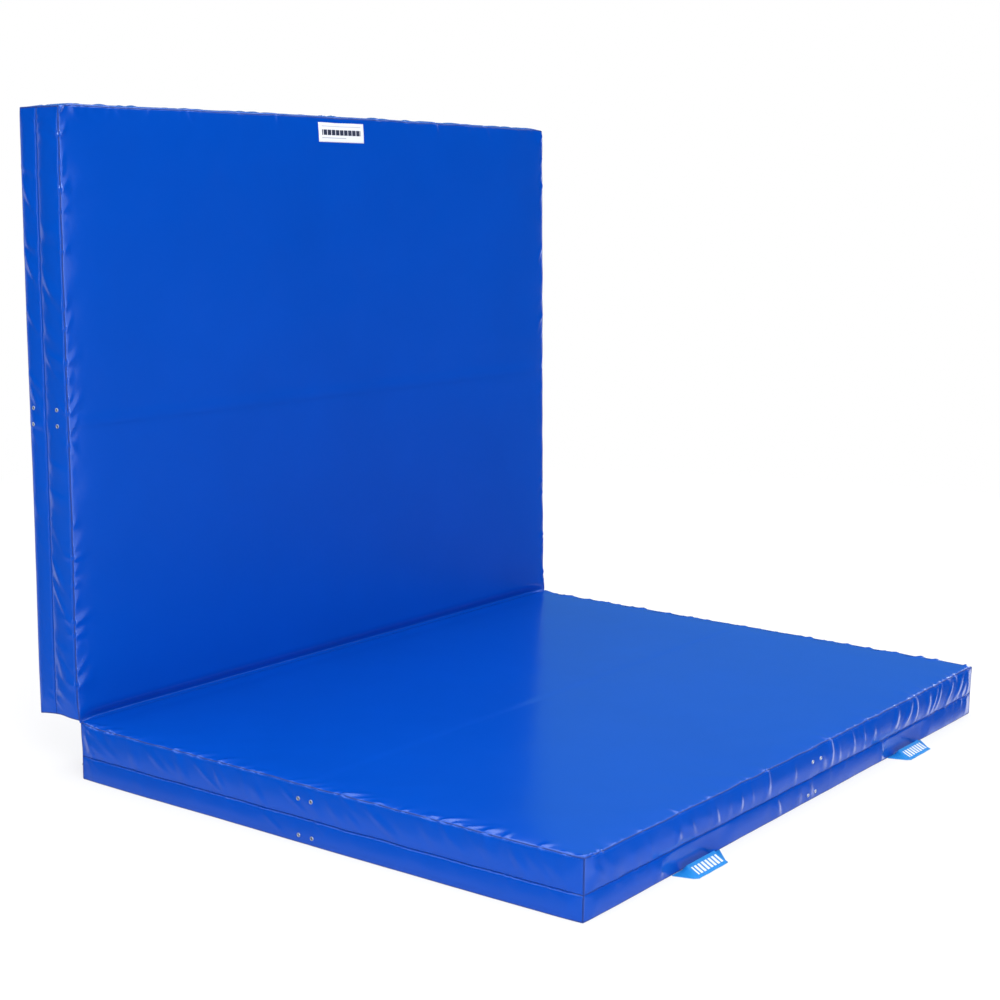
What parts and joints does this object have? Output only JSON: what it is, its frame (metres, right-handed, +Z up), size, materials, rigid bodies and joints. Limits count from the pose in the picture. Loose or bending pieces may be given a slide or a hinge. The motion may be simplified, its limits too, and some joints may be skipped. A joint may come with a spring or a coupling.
{
  "type": "folding gym mat",
  "caption": "Folding soft-floor landing mat: thick foam panels in a sewn blue cover that fold on one width of fabric, with webbing handles, vent eyelets and zips.",
  "frame": {"origin": "centre of the base panel's underside", "axes": "+X along the fold; the base panel's free end is towards -Y and the flap stands at its +Y edge; +Z up"},
  "size_m": [2.0024, 1.7519, 1.6539],
  "materials": {
    "cover_fabric": "satin",
    "underside_fabric": "matte",
    "foam": "matte",
    "handle_webbing": "matte",
    "vent_metal": "gloss",
    "zip_tape": "matte",
    "zip_metal": "satin",
    "label": "satin"
  },
  "bodies": {
    "base": {"base_foam_core": "foam", "base_top_sheet_inner": "cover_fabric", "base_top_sheet_outer": "cover_fabric", "base_bottom_sheet": "underside_fabric", "base_upper_band_left": "cover_fabric", "base_upper_band_right": "cover_fabric", "base_upper_band_free": "cover_fabric", "base_upper_band_hinge": "cover_fabric", "base_lower_band_left": "cover_fabric", "base_lower_band_right": "cover_fabric", "base_lower_band_free": "cover_fabric", "base_lower_band_hinge": "cover_fabric", "base_zip": "zip_tape", "base_vent_left_1": "vent_metal", "base_vent_left_2": "vent_metal", "base_vent_left_3": "vent_metal", "base_vent_left_4": "vent_metal", "base_vent_right_1": "vent_metal", "base_vent_right_2": "vent_metal", "base_vent_right_3": "vent_metal", "base_vent_right_4": "vent_metal", "base_vent_free_1": "vent_metal", "base_vent_free_2": "vent_metal", "base_vent_free_3": "vent_metal", "base_vent_free_4": "vent_metal"},
    "flap": {"flap_foam_core": "foam", "flap_top_sheet_inner": "cover_fabric", "flap_top_sheet_outer": "cover_fabric", "flap_bottom_sheet": "underside_fabric", "flap_upper_band_left": "cover_fabric", "flap_upper_band_right": "cover_fabric", "flap_upper_band_free": "cover_fabric", "flap_upper_band_hinge": "cover_fabric", "flap_lower_band_left": "cover_fabric", "flap_lower_band_right": "cover_fabric", "flap_lower_band_free": "cover_fabric", "flap_lower_band_hinge": "cover_fabric", "flap_zip": "zip_tape", "flap_vent_left_1": "vent_metal", "flap_vent_left_2": "vent_metal", "flap_vent_left_3": "vent_metal", "flap_vent_left_4": "vent_metal", "flap_vent_right_1": "vent_metal", "flap_vent_right_2": "vent_metal", "flap_vent_right_3": "vent_metal", "flap_vent_right_4": "vent_metal", "flap_vent_free_1": "vent_metal", "flap_vent_free_2": "vent_metal", "flap_vent_free_3": "vent_metal", "flap_vent_free_4": "vent_metal", "flap_label": "label"},
    "base_handle_left": {"base_handle_left": "handle_webbing"},
    "base_handle_right": {"base_handle_right": "handle_webbing"},
    "base_zip_slider": {"base_zip_slider": "zip_metal"},
    "base_zip_pull": {"base_zip_pull": "zip_metal"},
    "flap_handle_left": {"flap_handle_left": "handle_webbing"},
    "flap_handle_right": {"flap_handle_right": "handle_webbing"},
    "flap_zip_slider": {"flap_zip_slider": "zip_metal"},
    "flap_zip_pull": {"flap_zip_pull": "zip_metal"}
  },
  "joints": [
    {"name": "fold", "type": "hinge", "parent": "base", "child": "flap", "pos_m": [0, 0.756, 0.148], "axis": [1, 0, 0], "range_deg": [-88.64, 91.36]},
    {"name": "base_handle_left_swing", "type": "hinge", "parent": "base", "child": "base_handle_left", "pos_m": [-0.55, -0.7515, 0.0012], "axis": [-1, 0, 0], "range_deg": [-90, 75]},
    {"name": "base_handle_right_swing", "type": "hinge", "parent": "base", "child": "base_handle_right", "pos_m": [0.55, -0.7515, 0.0012], "axis": [-1, 0, 0], "range_deg": [-90, 75]},
    {"name": "flap_handle_left_swing", "type": "hinge", "parent": "flap", "child": "flap_handle_left", "pos_m": [-0.55, 0.94144, 1.65152], "axis": [1, 0, 0], "range_deg": [-1.3, 253.6]},
    {"name": "flap_handle_right_swing", "type": "hinge", "parent": "flap", "child": "flap_handle_right", "pos_m": [0.55, 0.94144, 1.65152], "axis": [1, 0, 0], "range_deg": [-1.3, 253.6]},
    {"name": "base_zip_slide", "type": "slide", "parent": "base", "child": "base_zip_slider", "axis": [1, 0, 0], "range_m": [0, 1.97]},
    {"name": "flap_zip_slide", "type": "slide", "parent": "flap", "child": "flap_zip_slider", "axis": [-1, 0, 0], "range_m": [0, 1.97]},
    {"name": "base_zip_pull_swing", "type": "hinge", "parent": "base_zip_slider", "child": "base_zip_pull", "pos_m": [-0.986, 0.753, 0.06], "axis": [0, 1, 0], "range_deg": [-85, 85]},
    {"name": "flap_zip_pull_swing", "type": "hinge", "parent": "flap_zip_slider", "child": "flap_zip_pull", "pos_m": [0.986, 0.84405, 0.14891], "axis": [0, -0.0237, -0.9997], "range_deg": [-85, 85]}
  ]
}
